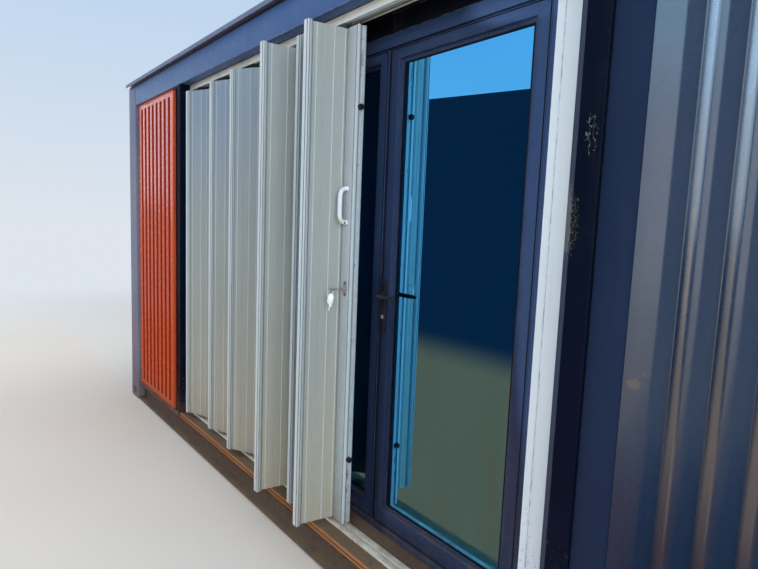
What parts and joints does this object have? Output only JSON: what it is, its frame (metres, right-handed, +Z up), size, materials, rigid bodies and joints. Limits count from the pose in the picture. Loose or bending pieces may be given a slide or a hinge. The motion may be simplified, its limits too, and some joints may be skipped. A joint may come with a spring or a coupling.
{
  "type": "shipping container cabin",
  "caption": "Steel container cabin with a wide front opening: glazed double doors behind a folded accordion shutter, and a bay with a ribbed panel.",
  "frame": {"origin": "bottom centre of the bounding box, on the ground under the corner fittings", "axes": "+Z up; +X along the cabin's length, to the right seen from the shuttered front; +Y from the front towards the back"},
  "size_m": [6.058, 2.5786, 2.591],
  "materials": {
    "navy_paint": "semi-gloss navy paint, weathered",
    "wall_paint": "semi-gloss dark navy paint, weathered",
    "post_paint": "semi-gloss dark navy paint, scratched",
    "base_paint": "matt dark paint, dusty",
    "roof_paint": "semi-gloss navy paint, weathered",
    "dark_paint": "matt near-black navy paint",
    "red_paint": "satin brick red paint, faded",
    "sill_paint": "satin paint under brown dust",
    "floor_board": "sealed plywood",
    "ceiling_board": "matt off-white lining",
    "door_aluminium": "powder coated dark grey-navy",
    "glass": "blue reflective glazing",
    "black_metal": "black satin",
    "track_paint": "off-white powder coat, dusty",
    "shutter_paint": "cream powder coat, satin",
    "shutter_post_paint": "cream powder coat, satin",
    "closer_paint": "cream powder coat, satin",
    "white_plastic": "white, weathered",
    "lock_metal": "worn nickel"
  },
  "bodies": {
    "cabin": {"corner_front_left": "navy_paint", "corner_front_right": "navy_paint", "corner_back_left": "navy_paint", "corner_back_right": "navy_paint", "bottom_rail_front": "base_paint", "bottom_rail_back": "base_paint", "bottom_rail_left": "base_paint", "bottom_rail_right": "base_paint", "top_rail_front": "navy_paint", "top_rail_back": "navy_paint", "top_rail_left": "navy_paint", "top_rail_right": "navy_paint", "floor_joists": "base_paint", "floor_deck": "floor_board", "sill_plate": "sill_paint", "ceiling_panel": "ceiling_board", "roof_panel": "roof_paint", "front_wall": "wall_paint", "back_wall": "wall_paint", "left_wall": "wall_paint", "right_wall": "wall_paint", "bay_wall": "dark_paint", "ribbed_panel": "red_paint", "left_door_post": "post_paint", "right_door_post": "post_paint", "door_surround": "dark_paint", "door_frame": "door_aluminium", "fixed_glass": "glass", "shutter_top_track": "track_paint", "shutter_bottom_track": "track_paint", "shutter_left_jamb": "track_paint", "shutter_channel": "track_paint", "shutter_blades_in": "shutter_paint", "shutter_blades_out": "shutter_paint", "shutter_outer_posts": "shutter_post_paint", "shutter_inner_posts": "shutter_post_paint", "shutter_closer": "closer_paint", "shutter_handle": "white_plastic", "shutter_lock": "lock_metal"},
    "left_door": {"left_leaf": "door_aluminium", "left_leaf_glass": "glass"},
    "right_door": {"right_leaf": "door_aluminium", "right_leaf_glass": "glass", "lever_plates": "black_metal"},
    "lever": {"door_lever": "black_metal"}
  },
  "joints": [
    {"name": "left_door_hinge", "type": "hinge", "parent": "cabin", "child": "left_door", "pos_m": [-0.7325, -0.9187, 1.2], "axis": [0, 0, 1], "range_deg": [0, 90]},
    {"name": "right_door_hinge", "type": "hinge", "parent": "cabin", "child": "right_door", "pos_m": [0.8145, -0.9187, 1.2], "axis": [0, 0, -1], "range_deg": [0, 90]},
    {"name": "lever_turn", "type": "hinge", "parent": "right_door", "child": "lever", "pos_m": [0.065, -0.954, 1.238], "axis": [0, 1, 0], "range_deg": [0, 40], "stiffness_Nm_per_rad": 1.5, "springref_deg": -20.05}
  ]
}
